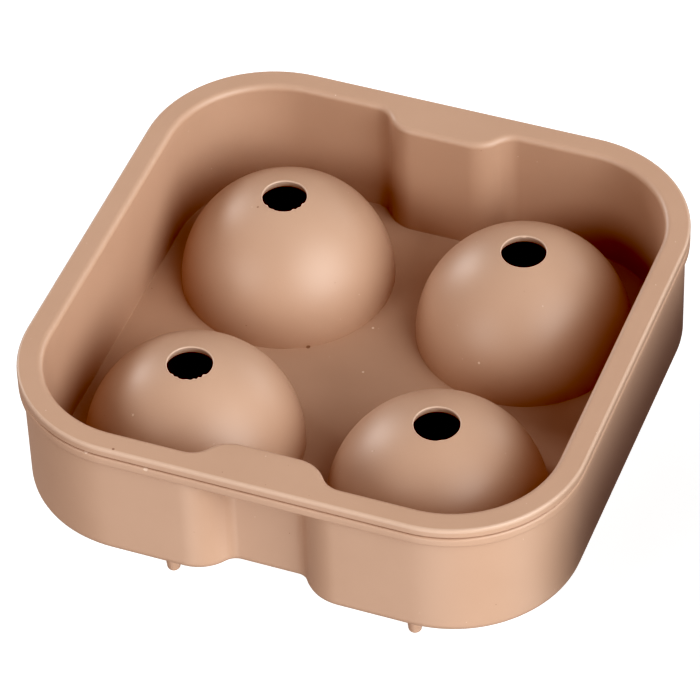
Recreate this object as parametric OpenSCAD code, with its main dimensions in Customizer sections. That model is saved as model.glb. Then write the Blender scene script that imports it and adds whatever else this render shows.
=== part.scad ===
// Two-piece silicone mould that freezes four ice balls.
// The lower half is a tub with four half-round cups that stands on small feet.
// The upper half nests inside it and closes each cup with a dome that has a fill hole.
// Origin: centre of the square, on the surface that the feet stand on. +Z is up.
// The finger notches are in the -Y (front) and +Y (back) sides.

/* [Balls] */
// Diameter of a frozen ball
ball_d = 45; // [36:0.5:48]
// Distance between the centres of neighbouring balls
ball_pitch = 58; // [56:0.5:62]
// Diameter of the fill hole at the top of a dome
fill_hole_d = 10; // [6:0.5:14]

/* [Rim] */
// Width of the rim, left to right
rim_w = 130; // [126:0.5:150]
// Length of the rim, front to back
rim_l = 130; // [126:0.5:150]
// Radius of the rim's outer corners
rim_corner_r = 30; // [20:0.5:36]
// Width of the flat rim, from its outer edge to the inner wall
rim_face = 5.8; // [5.2:0.1:9]
// Thickness of the upper half's flange
upper_flange_t = 2.4; // [1.6:0.1:4]
// Thickness of the lower half's flange
lower_flange_t = 2.4; // [1.6:0.1:4]
// Radius of the soft edge between the rim and the inner wall
rim_edge_r = 1.4; // [0.4:0.1:1.8]

/* [Walls and floors] */
// Depth from the top of the rim to the plane where the two floors meet
tray_depth = 31.7; // [28:0.1:40]
// Thickness of the upper half's wall
upper_wall_t = 2.1; // [1.4:0.1:2.4]
// Thickness of the lower half's wall at the flange
lower_wall_t = 2.3; // [1.4:0.1:2.6]
// Slope of the nested walls from the vertical, in degrees
wall_draft = 1.1; // [0.5:0.1:2.5]
// Thickness of the upper half's floor
upper_floor_t = 1.3; // [1.2:0.1:3]
// Thickness of the lower half's floor
lower_floor_t = 1.3; // [1.2:0.1:3]
// Radius of the fillet between the upper half's floor and wall
tray_fillet_r = 0.4; // [0.3:0.1:4]
// Radius of the upper half's outer bottom edge
upper_edge_r = 2.4; // [1.6:0.1:3]
// Radius of the fillet between the lower half's floor and wall
tub_fillet_r = 1; // [0.4:0.1:1.2]
// Radius of the lower half's outer bottom edge
tub_edge_r = 2; // [0.3:0.1:2]
// Thickness of a dome
dome_wall_t = 2.4; // [2.2:0.1:4]
// Thickness of a cup
cup_wall_t = 2; // [1.4:0.1:4]

/* [Finger notches] */
// How far a notch runs into the inner wall
notch_depth = 5.9; // [3:0.1:7]
// Width of the flat back of a notch
notch_flat_w = 13.4; // [10:0.1:16]
// Inner radius where the wall turns into a notch
notch_mouth_r = 5.6; // [5:0.1:7]
// Inner radius where the wall turns into the flat back
notch_back_r = 8; // [7:0.1:9]

/* [Feet] */
// Number of feet under a cup
feet_per_cup = 4; // [3:1:6]
// Distance of a foot from its cup's axis
foot_ring_r = 16.4; // [12:0.1:18]
// Diameter of a foot's tip
foot_tip_d = 2.2; // [1.8:0.1:3]
// Diameter of a foot where it meets its cup
foot_root_d = 4; // [3:0.1:5]
// Radius of the edge around a foot's tip
foot_edge_r = 0.5; // [0.2:0.1:0.8]
// How far the feet stand below the cups
foot_drop = 0.5; // [0.3:0.1:2]

/* [Seal] */
// Height of the collar around each cup's mouth, which ends at the ball's middle
collar_h = 1.7; // [1:0.1:2.4]
// Thickness of the collar at its top
collar_t = 1.1; // [0.8:0.1:1.2]

/* [Fits] */
// Gap between the nested walls
wall_gap = 0.35; // [0.3:0.05:0.8]
// Gap between the two flanges, seen as the dark parting line
flange_gap = 0.4; // [0.1:0.05:0.5]
// Gap between a collar and its recess in the dome
collar_gap = 0.3; // [0.2:0.05:0.4]

/* [Hidden] */
$fn = 96;

upper_color = [0.76, 0.61, 0.50];
lower_color = [0.73, 0.58, 0.47];
// How far a cutter runs past the face that it opens
over = 1;
// Width of floor that is drawn with each wall: a floor plate ends in the middle of it
floor_strip = 0.8;
// Least flat width beside a rounded edge
least_land = 0.5;
// Length by which two straight runs of a wall lap
run_lap = 1;
// Steps in each arc of a notch on the plates that end inside the walls
notch_steps = 8;

// Rounds a length to a ten-thousandth of a millimetre
function rounded(v) = round(v * 10000) / 10000;

// Levels
ball_r = ball_d / 2;
ball_z = foot_drop + cup_wall_t + ball_r;
meet_z = ball_z - collar_h;
rim_z = meet_z + tray_depth;
seat_z = rim_z - upper_flange_t - flange_gap;
dome_r = ball_r + dome_wall_t;
cup_r = ball_r + cup_wall_t;

// The wall line is the inner wall's face at the top of the rim.
// Distances n are measured outwards from it.
line_x = rim_w / 2 - rim_face;
line_y = rim_l / 2 - rim_face;
line_corner_r = rim_corner_r - rim_face;
corner_x = line_x - line_corner_r;
corner_y = line_y - line_corner_r;

// The nested walls, from the inside outwards, at the top of the rim
upper_outer_n = upper_wall_t;
lower_inner_n = upper_outer_n + wall_gap;
lower_outer_n = lower_inner_n + lower_wall_t;

// Distance n of a face that stands at n on the rim and leans inwards below it
function drafted(n, z) = n - (rim_z - z) * tan(wall_draft);

// Notch line: a flat back and, on each side, two arcs that meet where they slope most
notch_span = notch_mouth_r + notch_back_r;
notch_angle = round(100 * acos(1 - notch_depth / notch_span)) / 100;
back_x = notch_flat_w / 2;
back_y = line_y - notch_span * (1 - cos(notch_angle));
mouth_x = back_x + notch_span * sin(notch_angle);
mouth_centre = [mouth_x, line_y - notch_mouth_r];
back_centre = [back_x, back_y + notch_back_r];

// Outer radius of the collar around each cup's mouth
collar_r = ball_r + collar_t;

// Soft edge of the rim, limited by the wall that carries it
rim_edge = min(rim_edge_r, upper_wall_t - least_land);

// Fillet of the tray, limited by the turn into a notch, and where its floor begins
tray_floor_z = meet_z + upper_floor_t;
tray_fillet_room = notch_mouth_r + drafted(0, tray_floor_z) - floor_strip - least_land;
tray_fillet = min(tray_fillet_r, tray_fillet_room);
tray_wall_n = rounded(drafted(0, tray_floor_z + tray_fillet));
tray_floor_n = tray_wall_n - tray_fillet;

// Where the floor of the tub begins
tub_wall_n = rounded(drafted(lower_inner_n, meet_z + tub_fillet_r));
tub_floor_n = tub_wall_n - tub_fillet_r;

// Repeats its children at the four ball centres
module at_balls() {
  for (sx = [-1, 1], sy = [-1, 1])
    translate([sx * ball_pitch / 2, sy * ball_pitch / 2, 0]) children();
}

// Square with four round corners, half sizes hx and hy
module round_square(hx, hy, r) {
  square([2 * hx, 2 * (hy - r)], center = true);
  square([2 * (hx - r), 2 * hy], center = true);
  for (sx = [-1, 1], sy = [-1, 1])
    translate([sx * (hx - r), sy * (hy - r)]) circle(r);
}

// Points along an arc, in equal steps
function arc_points(centre, r, from, sweep) = [
  for (i = [0 : notch_steps])
    let (a = from + sweep * i / notch_steps)
      centre + r * [cos(a), sin(a)]
];

// Right half of the area that a notch takes from the wall line, moved outwards by n
module notch_half(n) {
  polygon(concat(
    [[-over, line_y + n + over], [-over, back_y + n]],
    arc_points(back_centre, notch_back_r - n, 270, notch_angle),
    arc_points(mouth_centre, notch_mouth_r + n, 90 + notch_angle, -notch_angle),
    [[mouth_x, line_y + n + over]]
  ));
}

// Area inside the wall line moved outwards by n
module wall_area(n) {
  difference() {
    round_square(line_x + n, line_y + n, line_corner_r + n);
    for (turn = [0, 180], flip = [0, 1])
      rotate(turn) mirror([flip, 0]) notch_half(n);
  }
}

// Moves its children to p in a round step and a small rest, so that no digit is lost
module fine_move(p) {
  step = [for (v = p) rounded(v)];
  translate(step) translate(p - step) children();
}

// Straight run of a wall profile from p; turn 0 faces +X and runs towards -Y
module straight_run(p, turn, length) {
  translate(p) rotate([90, 0, turn]) linear_extrude(length) children();
}

// Round run of a wall profile about a centre inside the line
module inner_turn(from, sweep, r) {
  rotate(from) rotate_extrude(angle = sweep) translate([r, 0]) children();
}

// Round run of a wall profile about a centre outside the line
module outer_turn(from, sweep, r) {
  rotate(from) rotate_extrude(angle = sweep) translate([r, 0]) mirror([1, 0]) children();
}

// Half of a notched side, from the notch's middle to the tray's corner
module notched_half_side() {
  side_x = rounded(mouth_x + run_lap / 2);
  fine_move([0, back_y]) straight_run([0, 0], 90, back_x) children();
  fine_move(back_centre) outer_turn(270, notch_angle, notch_back_r) children();
  fine_move(mouth_centre) inner_turn(90, notch_angle, notch_mouth_r) children();
  fine_move([mouth_x, line_y]) straight_run([0, 0], 90, run_lap) children();
  straight_run([side_x, line_y], 90, corner_x - side_x) children();
  translate([corner_x, corner_y]) inner_turn(0, 90, line_corner_r) children();
}

// Runs a wall profile, drawn as distance n and height, once around the wall line
module around_wall() {
  for (turn = [0, 180]) rotate(turn) {
    straight_run([line_x, corner_y], 0, 2 * corner_y) children();
    for (flip = [0, 1]) mirror([flip, 0, 0]) notched_half_side() children();
  }
}

// Waste outside a round edge of radius r: inward gives the way to the material
module corner_cut(corner, r, inward) {
  translate(corner) scale(inward) difference() {
    translate([-over, -over]) square(r + over);
    translate([r, r]) circle(r);
  }
}

// Upper wall: soft top edge, fillet to the floor and a round bottom edge
module upper_wall_profile() {
  edge_z = meet_z + upper_edge_r;
  edge_n = rounded(drafted(upper_outer_n, edge_z));
  fillet_z = tray_floor_z + tray_fillet;
  difference() {
    polygon([
      [0, rim_z],
      [upper_outer_n, rim_z],
      [edge_n, edge_z],
      [edge_n, meet_z],
      [tray_floor_n - floor_strip, meet_z],
      [tray_floor_n - floor_strip, tray_floor_z],
      [tray_floor_n, tray_floor_z],
      [tray_floor_n, fillet_z],
      [tray_wall_n, fillet_z]
    ]);
    translate([tray_floor_n, fillet_z]) circle(tray_fillet);
    corner_cut([0, rim_z], rim_edge, [1, -1]);
    corner_cut([edge_n, meet_z], upper_edge_r, [-1, 1]);
  }
}

// Lower wall: drafted inside, upright outside, with a fillet and a round bottom edge
module lower_wall_profile() {
  bottom = meet_z - lower_floor_t;
  fillet_z = meet_z + tub_fillet_r;
  difference() {
    polygon([
      [lower_inner_n, seat_z],
      [lower_outer_n, seat_z],
      [lower_outer_n, bottom],
      [tub_floor_n - floor_strip, bottom],
      [tub_floor_n - floor_strip, meet_z],
      [tub_floor_n, meet_z],
      [tub_floor_n, fillet_z],
      [tub_wall_n, fillet_z]
    ]);
    translate([tub_floor_n, fillet_z]) circle(tub_fillet_r);
    corner_cut([lower_outer_n, bottom], tub_edge_r, [-1, 1]);
  }
}

// Flat plate inside the wall line moved outwards by n
module floor_plate(n, from, t) {
  translate([0, 0, from]) linear_extrude(t) wall_area(n);
}

// Flange that runs from the wall's inside to the straight outer edge
module flange(n, from, t) {
  translate([0, 0, from]) linear_extrude(t) difference() {
    round_square(rim_w / 2, rim_l / 2, rim_corner_r);
    wall_area(n);
  }
}

// Dome: half a ball on a short upright ring that starts at the meeting plane
module dome() {
  translate([0, 0, ball_z]) rotate_extrude() {
    intersection() {
      circle(dome_r);
      square(dome_r);
    }
    translate([0, -collar_h]) square([dome_r, collar_h]);
  }
}

// Cup: the part of a ball below the meeting plane
module cup() {
  translate([0, 0, ball_z]) rotate_extrude() intersection() {
    circle(cup_r);
    translate([0, -cup_r]) square([cup_r, cup_r - collar_h]);
  }
}

// Disc that fills a collar from inside the cup to the ball's middle, grown by gap on its free faces
module collar(gap) {
  translate([0, 0, meet_z - over]) cylinder(h = over + collar_h + gap, r = collar_r + gap);
}

// Foot that widens towards its root and is long enough to end in the cup's wall
module foot() {
  tip_r = foot_tip_d / 2;
  root_z = ball_z - sqrt(cup_r * cup_r - pow(foot_ring_r + foot_root_d / 2, 2)) + over;
  rotate_extrude() {
    square([tip_r - foot_edge_r, root_z]);
    polygon([[0, foot_edge_r], [tip_r, foot_edge_r], [foot_root_d / 2, root_z], [0, root_z]]);
    translate([tip_r - foot_edge_r, foot_edge_r]) intersection() {
      circle(foot_edge_r);
      translate([0, -foot_edge_r]) square(foot_edge_r);
    }
  }
}

// Ring of feet under one cup, with one foot facing each side of the tray
module cup_feet() {
  for (i = [0 : feet_per_cup - 1])
    rotate(i * 360 / feet_per_cup - 90) translate([foot_ring_r, 0, 0]) foot();
}

module upper_half() {
  color(upper_color) difference() {
    union() {
      around_wall() upper_wall_profile();
      flange((rim_edge + upper_outer_n) / 2, rim_z - upper_flange_t, upper_flange_t);
      floor_plate(tray_floor_n - floor_strip / 2, meet_z, upper_floor_t);
      at_balls() dome();
    }
    at_balls() {
      translate([0, 0, ball_z]) sphere(ball_r);
      translate([0, 0, ball_z]) cylinder(h = dome_r + over, d = fill_hole_d);
      collar(collar_gap);
    }
  }
}

module lower_half() {
  color(lower_color) difference() {
    union() {
      around_wall() lower_wall_profile();
      flange((lower_inner_n + lower_outer_n) / 2, seat_z - lower_flange_t, lower_flange_t);
      floor_plate(tub_floor_n - floor_strip / 2, meet_z - lower_floor_t, lower_floor_t);
      at_balls() {
        cup();
        cup_feet();
        collar(0);
      }
    }
    at_balls() translate([0, 0, ball_z]) sphere(ball_r);
  }
}

upper_half();
lower_half();
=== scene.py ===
"""Two-piece silicone mould for four ice balls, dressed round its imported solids.

The upper half, a tray with four domes, lifts off the lower half, a tub with four cups.
Its sizes are in millimetres while a mesh is built, and a finished mesh is in metres.
The studio round the mould is in metres throughout.
"""

import logging
import math
from dataclasses import dataclass, field
from enum import Enum
from typing import Any, NamedTuple, Sequence, Union

import bmesh
import bpy
from bmesh.types import BMEdge, BMesh, BMVert
from mathutils import Matrix, Vector


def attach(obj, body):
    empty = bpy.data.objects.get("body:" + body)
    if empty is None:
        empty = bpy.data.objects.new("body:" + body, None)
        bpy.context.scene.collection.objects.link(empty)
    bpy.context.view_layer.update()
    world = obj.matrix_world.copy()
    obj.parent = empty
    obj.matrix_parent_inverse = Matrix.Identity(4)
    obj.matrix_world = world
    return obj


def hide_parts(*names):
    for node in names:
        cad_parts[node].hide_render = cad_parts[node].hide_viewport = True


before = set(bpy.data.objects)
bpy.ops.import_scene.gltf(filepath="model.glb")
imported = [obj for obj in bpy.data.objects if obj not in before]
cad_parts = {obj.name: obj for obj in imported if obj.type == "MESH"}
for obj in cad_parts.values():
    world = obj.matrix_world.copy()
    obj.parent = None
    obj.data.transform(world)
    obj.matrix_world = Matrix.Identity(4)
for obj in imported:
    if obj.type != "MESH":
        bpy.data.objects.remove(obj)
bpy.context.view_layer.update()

LOG = logging.getLogger("ice_ball_mould")
MM = 0.001
UP = Vector((0.0, 0.0, 1.0))
RIGHT = Vector((1.0, 0.0, 0.0))
ORIGIN = (0.0, 0.0, 0.0)
# Factors that take the height out of a vector
FLATTEN = (1.0, 1.0, 0.0)
WHITE = (1.0, 1.0, 1.0, 1.0)
# Distance of the loop that keeps a flat face flat beside a rounding
HOLD = 0.25
# Largest turn of one facet of a rounding
FACET = math.radians(15.0)
# Edges that turn more than this are drawn sharp
SHARP = math.radians(38.0)
# Largest distance between points that are the same point
SAME = 1e-4
# Sockets of a Mix node for colours
MIX_AMOUNT, MIX_FIRST, MIX_SECOND, MIX_RESULT = 0, 6, 7, 2

Colour = tuple[float, float, float, float]
Triple = tuple[float, float, float]


class Corner(NamedTuple):
    """Corner of a section: distance out from its route or axis, height and rounding radius."""

    n: float
    z: float
    r: float = 0.0

    @property
    def point(self) -> Vector:
        """The corner as a flat vector."""
        return Vector((self.n, self.z))


class Ball(Enum):
    """The four balls, by their place as seen from the front."""

    FRONT_LEFT = (-1, -1)
    FRONT_RIGHT = (1, -1)
    BACK_LEFT = (-1, 1)
    BACK_RIGHT = (1, 1)

    def centre(self, pitch: float) -> Vector:
        """Centre of the ball in plan, for balls that are pitch apart."""
        return Vector((self.value[0], self.value[1], 0.0)) * (pitch / 2)


class Route(Enum):
    """Line in plan that a section follows."""

    WALL = "along the notched wall"
    RIM = "along the straight outer edge"


class Tooth(NamedTuple):
    """Bit of flash on the edge of a fill hole; angles in degrees from the front."""

    turn: float
    half_width: float
    depth: float

    def reach(self, turn: float) -> float:
        """How far the flash stands out at an angle."""
        away = abs((turn - self.turn + 180.0) % 360.0 - 180.0)
        return self.depth * max(0.0, 1.0 - away / self.half_width)


def hole_flash() -> dict[Ball, tuple[Tooth, ...]]:
    """Flash left by the punch: plain on the left holes, slight on the right ones."""
    return {
        Ball.FRONT_LEFT: (
            Tooth(-27.0, 6.0, 0.3),
            Tooth(-12.0, 6.0, 0.3),
            Tooth(14.0, 9.0, 0.2),
            Tooth(32.0, 6.0, 0.35),
            Tooth(45.0, 6.0, 0.4),
            Tooth(60.0, 8.0, 0.6),
        ),
        Ball.FRONT_RIGHT: (Tooth(30.0, 12.0, 0.18),),
        Ball.BACK_LEFT: (
            Tooth(-32.0, 7.0, 0.35),
            Tooth(-10.0, 8.0, 0.15),
            Tooth(44.0, 6.0, 0.45),
            Tooth(58.0, 6.0, 0.25),
            Tooth(76.0, 8.0, 0.4),
        ),
        Ball.BACK_RIGHT: (Tooth(200.0, 10.0, 0.2),),
    }


class Stations:
    """Numbers of steps along a quarter of the plan, round a ball and up its side."""

    BACK = 4
    TURN = 10
    SIDE = 4
    CORNER = 26
    FLANK = 6
    BALL = 128
    MERIDIAN = 28


@dataclass(frozen=True)
class Plan:
    """Plan sizes that both halves share."""

    rim_w: float = 130.0
    rim_l: float = 130.0
    rim_corner_r: float = 30.0
    rim_face: float = 5.8
    notch_depth: float = 5.9
    notch_flat_w: float = 13.4
    notch_mouth_r: float = 5.6
    notch_back_r: float = 8.0
    ball_pitch: float = 58.0

    @property
    def line_y(self) -> float:
        """Half length of the wall line."""
        return self.rim_l / 2 - self.rim_face

    @property
    def line_corner_r(self) -> float:
        """Corner radius of the wall line."""
        return self.rim_corner_r - self.rim_face

    @property
    def corner(self) -> Vector:
        """Centre of the front right corner."""
        return Vector((self.rim_w / 2 - self.rim_corner_r, self.rim_corner_r - self.rim_l / 2, 0.0))

    @property
    def notch_angle(self) -> float:
        """Steepest slope of a notch's side."""
        return math.acos(1 - self.notch_depth / (self.notch_mouth_r + self.notch_back_r))

    @property
    def back_y(self) -> float:
        """Distance of a notch's flat back from the middle."""
        return self.line_y - self.notch_depth

    @property
    def back_centre(self) -> Vector:
        """Centre of the turn at the end of the front notch's flat back."""
        return Vector((self.notch_flat_w / 2, -self.back_y - self.notch_back_r, 0.0))

    @property
    def mouth_centre(self) -> Vector:
        """Centre of the turn at the mouth of the front notch."""
        run = (self.notch_mouth_r + self.notch_back_r) * math.sin(self.notch_angle)
        return Vector((self.notch_flat_w / 2 + run, self.notch_mouth_r - self.line_y, 0.0))


class Wire:
    """Line of edges in the plane of distance and height."""

    def __init__(self, mesh: BMesh, origin: Vector, outward: Vector) -> None:
        """Starts an empty line.

        Args:
            mesh: Mesh that takes the line.
            origin: Point of distance 0 and height 0.
            outward: Direction of growing distance.
        """
        self.mesh = mesh
        self.origin = origin
        self.outward = outward
        self.edges: list[BMEdge] = []
        self.tip: BMVert | None = None
        self.at = Vector((0.0, 0.0))

    def place(self, point: Vector) -> Vector:
        """Point of the plane in space."""
        return self.origin + self.outward * point.x + UP * point.y

    def start(self, point: Vector) -> "Wire":
        """Puts the first point down."""
        self.tip = self.mesh.verts.new(self.place(point))
        self.at = point
        return self

    def line(self, point: Vector) -> "Wire":
        """Draws a straight edge to a point."""
        if (point - self.at).length > SAME:
            grown = bmesh.ops.extrude_vert_indiv(self.mesh, verts=[self.tip])
            self.tip = grown["verts"][0]
            self.edges += grown["edges"]
            way = self.place(point) - self.place(self.at)
            bmesh.ops.translate(self.mesh, verts=[self.tip], vec=way)
            self.at = point
        return self

    def arc(self, centre: Vector, angle: float, steps: int) -> "Wire":
        """Draws an arc about a centre, anticlockwise for a positive angle."""
        before = set(self.mesh.edges)
        spun = bmesh.ops.spin(
            self.mesh,
            geom=[self.tip],
            cent=self.place(centre),
            axis=self.outward.cross(UP),
            angle=angle,
            steps=steps,
        )
        self.tip = next(g for g in spun["geom_last"] if isinstance(g, BMVert))
        self.edges += [e for e in self.mesh.edges if e not in before]
        self.at = centre + Matrix.Rotation(angle, 2) @ (self.at - centre)
        return self

    def path(self, corners: Sequence[Corner]) -> "Wire":
        """Draws straight edges from corner to corner and rounds those with a radius.

        Args:
            corners: Corners in order; the first and last are the ends.

        Returns:
            The wire itself.
        """
        if self.tip is None:
            self.start(corners[0].point)
        for corner, after in zip(corners[1:], corners[2:]):
            if corner.r:
                self._round(corner, after.point)
            else:
                self.line(corner.point)
        return self.line(corners[-1].point)

    def spin(self, steps: int) -> None:
        """Turns the line once round the upright axis at its origin and closes its poles."""
        bmesh.ops.spin(
            self.mesh,
            geom=self.edges,
            cent=self.origin,
            axis=UP,
            angle=2 * math.pi,
            steps=steps,
            use_merge=True,
        )
        bmesh.ops.remove_doubles(self.mesh, verts=self.mesh.verts, dist=SAME)

    def _round(self, corner: Corner, after: Vector) -> None:
        """Rounds one corner, with a holding point on each side where there is room."""
        way_in = (corner.point - self.at).normalized()
        way_out = (after - corner.point).normalized()
        turn = math.atan2(way_in.cross(way_out), way_in.dot(way_out))
        reach = corner.r * math.tan(abs(turn) / 2)
        begin = corner.point - way_in * reach
        normal = Vector((-way_in.y, way_in.x)) * math.copysign(corner.r, turn)
        if (begin - self.at).dot(way_in) > 2 * HOLD:
            self.line(begin - way_in * HOLD)
        self.line(begin)
        self.arc(begin + normal, turn, max(2, math.ceil(abs(turn) / FACET)))
        if (after - self.at).dot(way_out) > 2 * HOLD:
            self.line(self.at + way_out * HOLD)


class Sweep:
    """Carries a section along the plan, leaving faces behind it."""

    def __init__(self, mesh: BMesh, edges: Sequence[BMEdge]) -> None:
        """Takes the section's edges at the start."""
        self.mesh = mesh
        self.front = list(edges)

    def go(self, way: Vector, steps: int) -> "Sweep":
        """Moves the section straight, in equal steps."""
        for _ in range(steps):
            grown = bmesh.ops.extrude_edge_only(self.mesh, edges=self.front)["geom"]
            points = {g for g in grown if isinstance(g, BMVert)}
            bmesh.ops.translate(self.mesh, verts=list(points), vec=way / steps)
            self.front = [g for g in grown if isinstance(g, BMEdge) and points.issuperset(g.verts)]
        return self

    def turn(self, centre: Vector, angle: float, steps: int) -> "Sweep":
        """Turns the section about an upright axis."""
        spun = bmesh.ops.spin(
            self.mesh, geom=self.front, cent=centre, axis=UP, angle=angle, steps=steps
        )
        self.front = [g for g in spun["geom_last"] if isinstance(g, BMEdge)]
        return self


@dataclass
class MouldHalf:
    """What the two halves have in common: a walled square with a flange and four balls.

    A land is the flat strip beside a rounding, up to where two sections are bridged. A lap is
    the flat strip round a wall or a ball, up to where the floor is filled.
    """

    name: str
    body: str
    node: str
    slot: str
    plan: Plan = field(default_factory=Plan)
    meet_z: float = 23.3
    ball_z: float = 25.0
    rim_z: float = 55.0
    ball_r: float = 22.5
    wall_draft: float = math.radians(1.1)
    collar_r: float = 23.6
    mesh: BMesh = field(default_factory=bmesh.new)

    def drafted(self, n: float, z: float) -> float:
        """Distance of a leaning face at a height, for a face that stands at n on the rim."""
        return n - (self.rim_z - z) * math.tan(self.wall_draft)

    def wire(self, route: Route) -> Wire:
        """New section at the middle of the front side, on a route."""
        y = self.plan.back_y if route is Route.WALL else self.plan.rim_l / 2
        return Wire(self.mesh, Vector((0.0, -y, 0.0)), Vector((0.0, -1.0, 0.0)))

    def sweep(self, route: Route, corners: Sequence[Corner]) -> None:
        """Carries a section over the front right quarter of the plan.

        Args:
            route: Line that the section follows.
            corners: Corners of the section.
        """
        plan = self.plan
        run = Sweep(self.mesh, self.wire(route).path(corners).edges)
        mouth_x, back_x = plan.mouth_centre.x, plan.back_centre.x
        run.go(RIGHT * back_x, Stations.BACK)
        if route is Route.WALL:
            run.turn(plan.back_centre, -plan.notch_angle, Stations.TURN)
            run.turn(plan.mouth_centre, plan.notch_angle, Stations.TURN)
        else:
            run.go(RIGHT * (mouth_x - back_x), 2 * Stations.TURN)
        run.go(RIGHT * (plan.corner.x - mouth_x), Stations.SIDE)
        run.turn(plan.corner, math.pi / 2, Stations.CORNER)
        run.go(Vector((0.0, -plan.corner.y, 0.0)), Stations.FLANK)

    def mirror(self) -> None:
        """Completes the plan from its front right quarter."""
        for axis in ("Y", "X"):
            everything = [*self.mesh.verts, *self.mesh.edges, *self.mesh.faces]
            bmesh.ops.mirror(self.mesh, geom=everything, axis=axis, merge_dist=SAME)

    def join(self, part: BMesh, places: Sequence[Vector]) -> None:
        """Adds copies of a part to the half.

        Args:
            part: Part that is modelled about the origin; it is freed.
            places: Where its copies go.
        """
        data = bpy.data.meshes.new(self.name)
        for place in places:
            bmesh.ops.translate(part, verts=part.verts, vec=place)
            part.to_mesh(data)
            self.mesh.from_mesh(data)
            bmesh.ops.translate(part, verts=part.verts, vec=-place)
        part.free()
        bpy.data.meshes.remove(data)

    def ball_centres(self) -> list[Vector]:
        """Centres of the four balls in plan."""
        return [ball.centre(self.plan.ball_pitch) for ball in Ball]

    def open_edges(self, z: float) -> list[BMEdge]:
        """Edges at a height that have a face on one side only."""
        return [
            edge
            for edge in self.mesh.edges
            if edge.is_boundary and all(abs(vert.co.z - z) < SAME for vert in edge.verts)
        ]

    def bridge(self, z: float) -> None:
        """Joins the two open loops at a height with a flat band."""
        bmesh.ops.bridge_loops(self.mesh, edges=self.open_edges(z))

    def fill(self, z: float) -> None:
        """Fills the floor between the open loops at a height."""
        bmesh.ops.triangle_fill(self.mesh, use_beauty=True, edges=self.open_edges(z), normal=UP)

    def finish(self, material: bpy.types.Material) -> bpy.types.Object:
        """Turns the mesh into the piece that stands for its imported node.

        Args:
            material: Finish of the piece.

        Returns:
            The new object, in metres.
        """
        bmesh.ops.recalc_face_normals(self.mesh, faces=self.mesh.faces)
        bmesh.ops.scale(self.mesh, vec=Vector((MM, MM, MM)), verts=self.mesh.verts)
        for face in self.mesh.faces:
            face.smooth = True
        for edge in self.mesh.edges:
            edge.smooth = edge.calc_face_angle(0.0) < SHARP
        data = bpy.data.meshes.new(self.name)
        self.mesh.to_mesh(data)
        self.mesh.free()
        piece = bpy.data.objects.new(self.name, data)
        bpy.context.scene.collection.objects.link(piece)
        data.materials.append(material)
        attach(piece, self.body)
        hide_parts(self.node)
        LOG.info("%s: %d faces on body %s", piece.name, len(data.polygons), self.body)
        return piece


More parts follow.
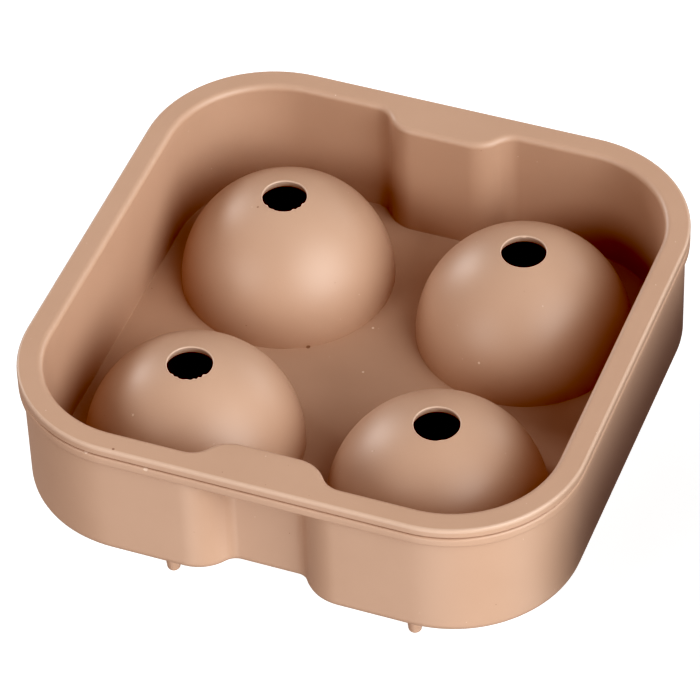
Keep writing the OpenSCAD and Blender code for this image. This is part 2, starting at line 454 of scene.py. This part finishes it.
@dataclass
class Tray(MouldHalf):
    """Upper half: wall, wide rim, floor and four domes with fill holes."""

    name: str = "tray_shell"
    body: str = "tray"
    node: str = "upper_half"
    slot: str = "upper_silicone"
    wall_t: float = 2.1
    flange_t: float = 2.4
    floor_t: float = 1.3
    fillet_r: float = 0.12
    bottom_edge_r: float = 2.4
    rim_inner_edge_r: float = 1.4
    rim_outer_edge_r: float = 0.6
    rim_under_edge_r: float = 0.35
    land_n: float = 2.4
    rim_land: float = 1.4
    floor_lap: float = 0.6
    dome_r: float = 24.9
    hole_r: float = 5.0
    lip_r: float = 0.28
    hole_inner_edge_r: float = 1.7
    hole_flare: float = 0.75
    collar_gap: float = 0.3
    recess_margin: float = 1.6
    tooth_h: float = 0.6
    flash: dict[Ball, tuple[Tooth, ...]] = field(default_factory=hole_flash)

    @property
    def floor_z(self) -> float:
        """Height of the tray's floor."""
        return self.meet_z + self.floor_t

    def build(self, material: bpy.types.Material) -> bpy.types.Object:
        """Builds the whole upper half.

        Args:
            material: Silicone of the tray.

        Returns:
            The finished piece.
        """
        self._walls()
        self.mirror()
        for ball in Ball:
            self.join(self._dome(self.flash[ball]), [ball.centre(self.plan.ball_pitch)])
        self.bridge(self.rim_z)
        self.bridge(self.rim_z - self.flange_t)
        self.fill(self.floor_z)
        self.fill(self.meet_z)
        return self.finish(material)

    def _walls(self) -> None:
        """Sweeps the inner face, the outer face and the flange's edge."""
        floor_n = self.drafted(0.0, self.floor_z)
        under_z = self.rim_z - self.flange_t
        self.sweep(
            Route.WALL,
            [
                Corner(floor_n - self.fillet_r - self.floor_lap, self.floor_z),
                Corner(floor_n, self.floor_z, self.fillet_r),
                Corner(0.0, self.rim_z, self.rim_inner_edge_r),
                Corner(self.land_n, self.rim_z),
            ],
        )
        self.sweep(
            Route.WALL,
            [
                Corner(self.wall_t, under_z),
                Corner(self.drafted(self.wall_t, self.meet_z), self.meet_z, self.bottom_edge_r),
                Corner(floor_n - self.fillet_r - self.floor_lap, self.meet_z),
            ],
        )
        self.sweep(
            Route.RIM,
            [
                Corner(-self.rim_land, self.rim_z),
                Corner(0.0, self.rim_z, self.rim_outer_edge_r),
                Corner(0.0, under_z, self.rim_under_edge_r),
                Corner(-self.rim_land, under_z),
            ],
        )

    def _dome(self, teeth: Sequence[Tooth]) -> BMesh:
        """Spins one dome with its fill hole, its hollow and the recess for a collar.

        Args:
            teeth: Flash that the punch left round the hole.

        Returns:
            The dome, with its axis at the origin.
        """
        dome = bmesh.new()
        middle = Vector((0.0, self.ball_z))
        lip_out = self.hole_r + self.lip_r
        lip_turn = math.acos(lip_out / self.dome_r)
        lip_z = self.ball_z + self.dome_r * math.sin(lip_turn)
        inner_r = self.hole_r + self.hole_flare
        inner_z = self.ball_z + math.sqrt(self.ball_r**2 - inner_r**2)
        # Place on the hollow that lies clear of the hole's inner rounding
        clear_r = inner_r + 2 * self.hole_inner_edge_r
        clear_lift = math.acos(clear_r / self.ball_r)
        recess_lift = math.asin(self.collar_gap / self.ball_r)
        recess_r = self.collar_r + self.collar_gap
        wire = Wire(dome, Vector(), RIGHT)
        wire.path(
            [
                Corner(self.dome_r + self.floor_lap, self.floor_z),
                Corner(self.dome_r, self.floor_z),
                Corner(self.dome_r, self.ball_z),
            ]
        )
        wire.arc(middle, lip_turn, Stations.MERIDIAN)
        wire.path(
            [
                Corner(lip_out, lip_z),
                Corner(self.hole_r, lip_z, self.lip_r),
                Corner(inner_r, inner_z, self.hole_inner_edge_r),
                Corner(clear_r, self.ball_z + self.ball_r * math.sin(clear_lift)),
            ]
        )
        wire.arc(middle, recess_lift - clear_lift, Stations.MERIDIAN)
        wire.path(
            [
                Corner(self.ball_r * math.cos(recess_lift), self.ball_z + self.collar_gap),
                Corner(recess_r, self.ball_z + self.collar_gap),
                Corner(recess_r, self.meet_z),
                Corner(recess_r + self.recess_margin, self.meet_z),
            ]
        )
        wire.spin(Stations.BALL)
        self._cut_teeth(dome, lip_z, teeth)
        return dome

    def _cut_teeth(self, dome: BMesh, lip_z: float, teeth: Sequence[Tooth]) -> None:
        """Pulls the hole's edge inwards where flash is left on it.

        Args:
            dome: Dome that is changed.
            lip_z: Height of the hole's edge.
            teeth: Flash on the edge.
        """
        for vert in dome.verts:
            out = vert.co.xy.length
            if abs(vert.co.z - lip_z) < self.tooth_h and abs(out - self.hole_r) < self.lip_r:
                turn = math.degrees(math.atan2(vert.co.x, -vert.co.y))
                reach = sum(tooth.reach(turn) for tooth in teeth)
                vert.co.xy *= 1.0 - reach / out


@dataclass
class Tub(MouldHalf):
    """Lower half: wall, flange, floor, four cups and the feet under them."""

    name: str = "tub_shell"
    body: str = "tub"
    node: str = "lower_half"
    slot: str = "lower_silicone"
    seat_z: float = 52.2
    flange_t: float = 2.4
    inner_n: float = 2.45
    outer_n: float = 4.75
    floor_t: float = 1.3
    fillet_r: float = 1.0
    bottom_edge_r: float = 2.0
    mouth_edge_r: float = 0.35
    flange_top_edge_r: float = 0.6
    flange_low_edge_r: float = 0.5
    flange_fillet_r: float = 0.35
    land_n: float = 3.2
    rim_land: float = 1.2
    under_land: float = 0.55
    floor_lap: float = 0.5
    cup_r: float = 24.5
    cup_foot_r: float = 0.4
    collar_edge_r: float = 0.25
    collar_margin: float = 1.6
    feet: int = 4
    foot_ring_r: float = 16.4
    foot_tip_r: float = 1.45
    foot_root_r: float = 2.3
    foot_root_z: float = 9.8
    foot_edge_r: float = 0.8
    foot_steps: int = 28

    @property
    def bottom_z(self) -> float:
        """Height of the floor's underside."""
        return self.meet_z - self.floor_t

    def build(self, material: bpy.types.Material) -> bpy.types.Object:
        """Builds the whole lower half.

        Args:
            material: Silicone of the tub.

        Returns:
            The finished piece.
        """
        self._walls()
        self.mirror()
        self.join(self._cup(), self.ball_centres())
        self.bridge(self.seat_z)
        self.bridge(self.seat_z - self.flange_t)
        self.fill(self.meet_z)
        self.fill(self.bottom_z)
        for i in range(self.feet):
            self.join(self._foot(2 * math.pi * i / self.feet), self.ball_centres())
        return self.finish(material)

    def _walls(self) -> None:
        """Sweeps the inner face, the outer face and the flange's edge."""
        floor_n = self.drafted(self.inner_n, self.meet_z)
        under_z = self.seat_z - self.flange_t
        self.sweep(
            Route.WALL,
            [
                Corner(floor_n - self.fillet_r - self.floor_lap, self.meet_z),
                Corner(floor_n, self.meet_z, self.fillet_r),
                Corner(self.inner_n, self.seat_z, self.mouth_edge_r),
                Corner(self.land_n, self.seat_z),
            ],
        )
        self.sweep(
            Route.WALL,
            [
                Corner(self.outer_n + self.flange_fillet_r, under_z),
                Corner(self.outer_n, under_z, self.flange_fillet_r),
                Corner(self.outer_n, self.bottom_z, self.bottom_edge_r),
                Corner(floor_n - self.fillet_r - self.floor_lap, self.bottom_z),
            ],
        )
        self.sweep(
            Route.RIM,
            [
                Corner(-self.rim_land, self.seat_z),
                Corner(0.0, self.seat_z, self.flange_top_edge_r),
                Corner(0.0, under_z, self.flange_low_edge_r),
                Corner(-self.under_land, under_z),
            ],
        )

    def _cup(self) -> BMesh:
        """Spins one cup: its hollow with the sealing collar, and its outside."""
        cup = bmesh.new()
        middle = Vector((0.0, self.ball_z))
        hollow = Wire(cup, Vector(), RIGHT).path(
            [
                Corner(self.collar_r + self.collar_margin, self.meet_z),
                Corner(self.collar_r, self.meet_z),
                Corner(self.collar_r, self.ball_z, self.collar_edge_r),
                Corner(self.ball_r, self.ball_z),
            ]
        )
        hollow.arc(middle, -math.pi / 2, Stations.MERIDIAN)
        hollow.spin(Stations.BALL)
        top_r = math.sqrt(self.cup_r**2 - (self.ball_z - self.bottom_z) ** 2)
        low_z = self.bottom_z - 2 * self.cup_foot_r
        low_dip = math.asin((self.ball_z - low_z) / self.cup_r)
        outside = Wire(cup, Vector(), RIGHT).path(
            [
                Corner(top_r + self.collar_margin, self.bottom_z),
                Corner(top_r, self.bottom_z, self.cup_foot_r),
                Corner(self.cup_r * math.cos(low_dip), low_z),
            ]
        )
        outside.arc(middle, low_dip - math.pi / 2, Stations.MERIDIAN)
        outside.spin(Stations.BALL)
        return cup

    def _foot(self, turn: float) -> BMesh:
        """Spins one tapered foot and roots it in its cup's wall.

        Args:
            turn: Angle of the foot round its cup, from the front.

        Returns:
            The foot, with its cup's axis at the origin.
        """
        foot = bmesh.new()
        centre = Matrix.Rotation(turn, 3, "Z") @ Vector((0.0, -self.foot_ring_r, 0.0))
        wire = Wire(foot, centre, RIGHT).path(
            [
                Corner(0.0, 0.0),
                Corner(self.foot_tip_r, 0.0, self.foot_edge_r),
                Corner(self.foot_root_r, self.foot_root_z),
            ]
        )
        wire.spin(self.foot_steps)
        root = [e for e in foot.edges if e.is_boundary]
        wall_r = (self.ball_r + self.cup_r) / 2
        for vert in {v for e in root for v in e.verts}:
            vert.co.z = self.ball_z - math.sqrt(wall_r**2 - vert.co.xy.length_squared)
        bmesh.ops.holes_fill(foot, edges=root, sides=0)
        return foot


Value = Union["Sock", float, Sequence[float]]
Key = Union[int, str]


class Sock:
    """Output of a shader node; arithmetic on it adds Math nodes."""

    def __init__(self, shader: "Shader", socket: bpy.types.NodeSocket) -> None:
        """Wraps one socket of a shader's nodes."""
        self.shader = shader
        self.socket = socket

    def _math(self, operation: str, first: Value, second: Value) -> "Sock":
        """Adds one Math node."""
        return self.shader.add("ShaderNodeMath", {"operation": operation}, {0: first, 1: second})

    def __add__(self, other: Value) -> "Sock":
        """Sum."""
        return self._math("ADD", self, other)

    def __radd__(self, other: Value) -> "Sock":
        """Sum with a number in front."""
        return self._math("ADD", other, self)

    def __sub__(self, other: Value) -> "Sock":
        """Difference."""
        return self._math("SUBTRACT", self, other)

    def __rsub__(self, other: Value) -> "Sock":
        """Difference with a number in front."""
        return self._math("SUBTRACT", other, self)

    def __mul__(self, other: Value) -> "Sock":
        """Product."""
        return self._math("MULTIPLY", self, other)

    def __rmul__(self, other: Value) -> "Sock":
        """Product with a number in front."""
        return self._math("MULTIPLY", other, self)

    def __lt__(self, other: Value) -> "Sock":
        """One where the value is less than the other, else nought."""
        return self._math("LESS_THAN", self, other)

    def __gt__(self, other: Value) -> "Sock":
        """One where the value is greater than the other, else nought."""
        return self._math("GREATER_THAN", self, other)


class Shader:
    """Nodes of one material."""

    def __init__(self, name: str) -> None:
        """Makes a material with only its surface shader."""
        self.material = bpy.data.materials.new(name)
        self.material.use_nodes = True
        self.tree = self.material.node_tree
        self.surface = self.tree.nodes["Principled BSDF"]

    def add(
        self,
        kind: str,
        settings: dict[str, Any],
        inputs: dict[Key, Value],
        output: Key = 0,
    ) -> Sock:
        """Adds a node.

        Args:
            kind: Type of the node.
            settings: Settings of the node, set first.
            inputs: Values or links of its sockets.
            output: Socket that is returned.

        Returns:
            The chosen output.
        """
        node = self.tree.nodes.new(kind)
        for key, value in settings.items():
            setattr(node, key, value)
        for key, value in inputs.items():
            self.put(node.inputs[key], value)
        return Sock(self, node.outputs[output])

    def put(self, socket: bpy.types.NodeSocket, value: Value) -> None:
        """Links a socket to an output, or gives it a value."""
        if isinstance(value, Sock):
            self.tree.links.new(value.socket, socket)
        else:
            socket.default_value = value

    def vector(
        self,
        operation: str,
        first: Value,
        second: Value = ORIGIN,
        output: str = "Vector",
    ) -> Sock:
        """Adds one Vector Math node.

        Args:
            operation: What the node works out.
            first: First vector.
            second: Second vector, where the operation takes two.
            output: Socket that is returned.

        Returns:
            The chosen output.
        """
        settings = {"operation": operation}
        return self.add("ShaderNodeVectorMath", settings, {0: first, 1: second}, output)

    def noise(self, place: Sock, per_m: float, detail: float) -> Sock:
        """Adds a noise texture of a fineness per metre."""
        inputs = {"Vector": place, "Scale": per_m, "Detail": detail}
        return self.add("ShaderNodeTexNoise", {}, inputs)

    def mix(self, amount: Value, first: Value, second: Value) -> Sock:
        """Mixes two colours."""
        inputs = {MIX_AMOUNT: amount, MIX_FIRST: first, MIX_SECOND: second}
        return self.add("ShaderNodeMix", {"data_type": "RGBA"}, inputs, MIX_RESULT)


class Mark(NamedTuple):
    """Small blemish: its place and radius in millimetres, and how pale or dark it is."""

    x: float
    y: float
    z: float
    r: float
    paleness: float

    @property
    def place(self) -> Vector:
        """The blemish's place in metres."""
        return Vector((self.x, self.y, self.z)) * MM


TRAY_MARKS = (
    Mark(-32.2, -64.2, 54.7, 0.42, -0.75),
    Mark(-16.0, 7.8, 24.6, 0.5, -0.8),
    Mark(-4.1, 18.5, 24.6, 0.3, 0.9),
    Mark(-1.2, 4.2, 24.6, 0.28, 0.8),
    Mark(-33.6, 23.9, 48.9, 0.25, -0.6),
    Mark(-59.3, 8.9, 38.5, 0.3, -0.5),
    Mark(26.2, 6.1, 34.4, 0.28, 0.8),
    Mark(-37.1, -43.1, 43.8, 0.28, 0.7),
)
TUB_MARKS = (
    Mark(40.8, -63.95, 45.0, 0.35, -0.25),
    Mark(-24.6, -65.0, 52.0, 0.5, 0.5),
    Mark(-38.6, -64.2, 52.0, 0.5, 0.5),
)


@dataclass(frozen=True)
class SiliconeFinish:
    """Matte tan silicone with faint mottling, a fine grain, dust, pits and a few blemishes.

    A rise is a height as a multiple of the grain's, a share is a part of all specks, and a
    cover is how far specks hide the colour under them.
    """

    name: str
    marks: tuple[Mark, ...] = ()
    colour: Colour = (0.51, 0.338, 0.244, 1.0)
    deep_colour: Colour = (0.47, 0.308, 0.219, 1.0)
    # Pale colour of dust and pale marks; the tray's painted edge highlights use it too
    dust_and_highlight_colour: Colour = (0.74, 0.58, 0.47, 1.0)
    pit_colour: Colour = (0.20, 0.10, 0.055, 1.0)
    roughness: float = 0.42
    roughness_swing: float = 0.08
    specular: float = 0.5
    mottle_per_m: float = 55.0
    mottle_detail: float = 3.0
    mottle_rise: float = 0.4
    grain_per_m: float = 2600.0
    grain_detail: float = 2.0
    grain_height: float = 0.00004
    bump_strength: float = 0.25
    speck_cells_per_m: float = 400.0
    speck_size: float = 0.055
    speck_least: float = 0.3
    dust_share: float = 0.3
    dust_cover: float = 0.7
    dust_rise: float = 2.0
    pit_share: float = 0.15
    pit_cover: float = 0.6

    def material(self) -> bpy.types.Material:
        """Builds the material.

        Returns:
            The finished material.
        """
        shader = Shader(self.name)
        place = shader.add("ShaderNodeTexCoord", {}, {}, "Object")
        mottle = shader.noise(place, self.mottle_per_m, self.mottle_detail)
        grain = shader.noise(place, self.grain_per_m, self.grain_detail)
        dust, pit = self._specks(shader, place)
        body = shader.mix(mottle, self.deep_colour, self.colour)
        dusty = shader.mix(dust * self.dust_cover, body, self.dust_and_highlight_colour)
        skin = shader.mix(pit * self.pit_cover, dusty, self.pit_colour)
        for mark in self.marks:
            tone = self.dust_and_highlight_colour if mark.paleness > 0.0 else self.pit_colour
            near = shader.vector("DISTANCE", place, mark.place, "Value")
            skin = shader.mix((near < mark.r * MM) * abs(mark.paleness), skin, tone)
        # Painted highlights on the edges, where the finish has them
        skin = self._paint_edge_highlights(shader, place, skin)
        relief = {
            "Strength": self.bump_strength,
            "Distance": self.grain_height,
            "Height": grain + mottle * self.mottle_rise + dust * self.dust_rise,
        }
        bump = shader.add("ShaderNodeBump", {}, relief)
        inputs = shader.surface.inputs
        shader.put(inputs["Base Color"], skin)
        shader.put(inputs["Roughness"], mottle * self.roughness_swing + self.roughness)
        shader.put(inputs["Normal"], bump)
        shader.put(inputs["Specular IOR Level"], self.specular)
        return shader.material

    def _paint_edge_highlights(self, shader: Shader, place: Sock, skin: Sock) -> Sock:
        """Painted highlights on the silicone's edges; the plain finish paints none and leaves the
        colour as it is.
        """
        return skin

    def _specks(self, shader: Shader, place: Sock) -> tuple[Sock, Sock]:
        """Scatters tiny specks of several sizes.

        Args:
            shader: Material that takes the nodes.
            place: Coordinates on the piece.

        Returns:
            Masks of the pale dust and of the dark pits.
        """
        cells = {"Vector": place, "Scale": self.speck_cells_per_m}
        near = shader.add("ShaderNodeTexVoronoi", {}, cells, "Distance")
        lot = shader.add("ShaderNodeTexVoronoi", {}, cells, "Color")
        kind = shader.add("ShaderNodeSeparateColor", {}, {"Color": lot}, "Red")
        size = shader.add("ShaderNodeSeparateColor", {}, {"Color": lot}, "Green")
        speck_r = (size * (1.0 - self.speck_least) + self.speck_least) * self.speck_size
        speck = near < speck_r
        return speck * (kind > 1.0 - self.dust_share), speck * (kind < self.pit_share)


@dataclass(frozen=True)
class TrayFinish(SiliconeFinish):
    """Silicone of the tray, with painted highlights that make the fill holes' lips and the rim's
    outer top edge paler.

    Places and lengths are in metres.
    """

    # Where and how strongly the painted highlights lie: round each fill hole's lip and along the
    # rim's outer top edge
    lip_place: Triple = (0.029, 0.029, 0.0493)
    lip_reach: float = 0.0054
    lip_highlight: float = 0.3
    rim_corner: Triple = (0.035, 0.035, 0.0541)
    rim_reach: float = 0.0294
    rim_highlight: float = 0.2

    def _paint_edge_highlights(self, shader: Shader, place: Sock, skin: Sock) -> Sock:
        """Paints highlights on the fill holes' lips and the rim's outer top edge, making them
        paler.

        Args:
            shader: Material that takes the nodes.
            place: Coordinates on the piece.
            skin: Colour so far.

        Returns:
            Colour with the painted edge highlights.
        """
        quarter = shader.vector("ABSOLUTE", place)
        from_lip = shader.vector("DISTANCE", quarter, self.lip_place, "Value")
        past_corner = shader.vector("SUBTRACT", quarter, self.rim_corner)
        beyond = shader.vector("MAXIMUM", past_corner, ORIGIN)
        in_plan = shader.vector("MULTIPLY", beyond, FLATTEN)
        from_corner = shader.vector("LENGTH", in_plan, output="Value")
        above = shader.add("ShaderNodeSeparateXYZ", {}, {"Vector": beyond}, "Z")
        # Painted highlights: a pale ring round each fill hole's lip and a pale line on the rim's
        # outer top edge
        lip = (from_lip < self.lip_reach) * self.lip_highlight
        rim = (from_corner > self.rim_reach) * (above > 0.0) * self.rim_highlight
        return shader.mix(lip + rim, skin, self.dust_and_highlight_colour)


@dataclass(frozen=True)
class StageFinish:
    """Plain finish of what stands round the mould; glow makes it a light table."""

    name: str
    colour: Colour
    glow: float = 0.0
    roughness: float = 0.9

    def material(self) -> bpy.types.Material:
        """Builds the material."""
        shader = Shader(self.name)
        inputs = shader.surface.inputs
        shader.put(inputs["Base Color"], self.colour)
        shader.put(inputs["Roughness"], self.roughness)
        shader.put(inputs["Emission Color"], WHITE)
        shader.put(inputs["Emission Strength"], self.glow)
        shader.material.cycles.emission_sampling = "NONE"
        return shader.material


def bearing(azimuth: float, elevation: float) -> Vector:
    """Direction from the mould towards a point round it.

    Args:
        azimuth: Degrees round from the front, towards the right.
        elevation: Degrees above the floor.

    Returns:
        Unit vector.
    """
    turn, lift = math.radians(azimuth), math.radians(elevation)
    out = math.cos(lift)
    return Vector((math.sin(turn) * out, -math.cos(turn) * out, math.sin(lift)))


# Colour of the key lights
COOL = (0.92, 0.996, 1.044)


@dataclass(frozen=True)
class BroadLight:
    """Large studio light far from the mould; angles in degrees."""

    name: str
    azimuth: float
    elevation: float
    strength: float
    spread: float = 25.0
    colour: Triple = (0.964, 0.996, 1.024)

    def make(self) -> bpy.types.Object:
        """Adds the light to the scene."""
        data = bpy.data.lights.new(self.name, "SUN")
        data.angle = math.radians(self.spread)
        data.energy = self.strength
        data.color = self.colour
        light = bpy.data.objects.new(self.name, data)
        towards = bearing(self.azimuth, self.elevation)
        light.rotation_euler = towards.to_track_quat("Z", "Y").to_euler()
        bpy.context.scene.collection.objects.link(light)
        return light


@dataclass(frozen=True)
class PhotoCamera:
    """Camera at the photograph's angle; lengths in metres, angles in degrees."""

    name: str = "photo_camera"
    azimuth: float = 22.149
    elevation: float = 44.129
    roll: float = -2.254
    distance: float = 1.0048
    aim: Triple = (0.0, 0.0, 0.055)
    across: float = -0.001775
    upward: float = -0.013751
    lens: float = 232.2
    sensor: float = 36.0

    def make(self) -> bpy.types.Object:
        """Adds the camera and makes it the scene's own.

        Returns:
            The camera.
        """
        back = bearing(self.azimuth, self.elevation)
        roll = Matrix.Rotation(math.radians(self.roll), 3, back)
        right = roll @ bearing(self.azimuth + 90.0, 0.0)
        upright = back.cross(right)
        data = bpy.data.cameras.new(self.name)
        data.lens = self.lens
        data.sensor_width = self.sensor
        camera = bpy.data.objects.new(self.name, data)
        place = Vector(self.aim) + right * self.across + upright * self.upward
        place += back * self.distance
        turn = Matrix((right, upright, back)).transposed().to_4x4()
        camera.matrix_world = Matrix.Translation(place) @ turn
        bpy.context.scene.collection.objects.link(camera)
        bpy.context.scene.camera = camera
        return camera


@dataclass
class Studio:
    """Floor, lights, a shading card and the camera round the mould; sizes in metres."""

    floor_drop: float = 0.0002
    floor_r: float = 4.0
    floor_curve_r: float = 1.5
    wall_h: float = 4.0
    floor_steps: int = 64
    floor_finish: StageFinish = StageFinish("pale_floor", (0.3, 0.3, 0.3, 1.0), 0.93)
    card_finish: StageFinish = StageFinish("black_card", (0.0, 0.0, 0.0, 1.0))
    card_x: float = 0.095
    card_front_y: float = -0.055
    card_back_y: float = 0.13
    card_top_z: float = 0.058
    sky: Colour = (0.979, 0.996, 1.005, 1.0)
    sky_strength: float = 0.265
    tone_gamma: float = 0.8
    tone_black: Triple = (0.014, 0.048, 0.049)
    lights: tuple[BroadLight, ...] = (
        BroadLight("right_key", 71.0, 35.0, 2.6, 54.0, COOL),
        BroadLight("right_low", 62.0, 23.0, 1.5, 42.0, COOL),
        BroadLight("left_light", 247.0, 25.0, 1.0, 16.0),
        BroadLight("left_low", 240.0, 12.0, 0.7, 25.0),
        BroadLight("back_light", 148.0, 12.0, 0.95, 34.0),
        BroadLight("front_light", 330.0, 28.0, 1.08, 30.0),
        BroadLight("top_light", 0.0, 88.0, 0.22, 60.0),
        BroadLight("floor_bounce_front", 0.0, -25.0, 1.35, 40.0),
        BroadLight("floor_bounce_right", 90.0, -25.0, 1.3, 40.0),
    )

    def build(self) -> None:
        """Adds the floor, the card, the lights, the surroundings and the camera."""
        self._floor()
        self._card()
        for light in self.lights:
            light.make()
        world = bpy.data.worlds.new("studio")
        world.use_nodes = True
        background = world.node_tree.nodes["Background"]
        background.inputs["Color"].default_value = self.sky
        background.inputs["Strength"].default_value = self.sky_strength
        bpy.context.scene.world = world
        self._tone()
        PhotoCamera().make()

    def _tone(self) -> None:
        """Gives the picture the photograph's contrast: deep blacks and dark middle tones."""
        view = bpy.context.scene.view_settings
        view.view_transform = "Standard"
        view.gamma = self.tone_gamma
        view.use_curve_mapping = True
        view.curve_mapping.black_level = self.tone_black
        view.curve_mapping.update()

    def _floor(self) -> None:
        """Adds the pale floor, which curves up into a wall and lights nothing itself."""
        mesh = bmesh.new()
        wire = Wire(mesh, Vector((0.0, 0.0, -self.floor_drop)), RIGHT)
        wire.path(
            [
                Corner(0.0, 0.0),
                Corner(self.floor_r, 0.0, self.floor_curve_r),
                Corner(self.floor_r, self.wall_h),
            ]
        )
        wire.spin(self.floor_steps)
        bmesh.ops.recalc_face_normals(mesh, faces=mesh.faces)
        bmesh.ops.reverse_faces(mesh, faces=mesh.faces)
        floor = self._stage("floor", mesh, self.floor_finish)
        floor.visible_diffuse = False
        floor.visible_glossy = False
        floor.visible_shadow = False

    def _card(self) -> None:
        """Adds the unseen black card that keeps the light off the right wall's lower part."""
        mesh = bmesh.new()
        # A square of one metre, as size is half its side
        bmesh.ops.create_grid(mesh, x_segments=1, y_segments=1, size=0.5)
        size = Vector((self.card_top_z, self.card_back_y - self.card_front_y, 1.0))
        middle_y = (self.card_front_y + self.card_back_y) / 2
        place = Vector((self.card_x, middle_y, self.card_top_z / 2))
        bmesh.ops.scale(mesh, vec=size, verts=mesh.verts)
        bmesh.ops.rotate(mesh, matrix=Matrix.Rotation(math.pi / 2, 3, "Y"), verts=mesh.verts)
        bmesh.ops.translate(mesh, vec=place, verts=mesh.verts)
        self._stage("shading_card", mesh, self.card_finish).visible_camera = False

    def _stage(self, name: str, mesh: BMesh, finish: StageFinish) -> bpy.types.Object:
        """Turns a mesh into an object that is no part of the mould.

        Args:
            name: Name of the object.
            mesh: Its mesh, which is freed.
            finish: Its finish.

        Returns:
            The object.
        """
        data = bpy.data.meshes.new(name)
        mesh.to_mesh(data)
        mesh.free()
        thing = bpy.data.objects.new(name, data)
        data.materials.append(finish.material())
        bpy.context.scene.collection.objects.link(thing)
        return thing


def main() -> None:
    """Builds both halves and the studio."""
    logging.basicConfig(level=logging.INFO, format="%(name)s: %(message)s")
    Tray().build(TrayFinish("tray_silicone", TRAY_MARKS).material())
    Tub().build(SiliconeFinish("tub_silicone", TUB_MARKS).material())
    Studio().build()


if __name__ == "__main__":
    main()
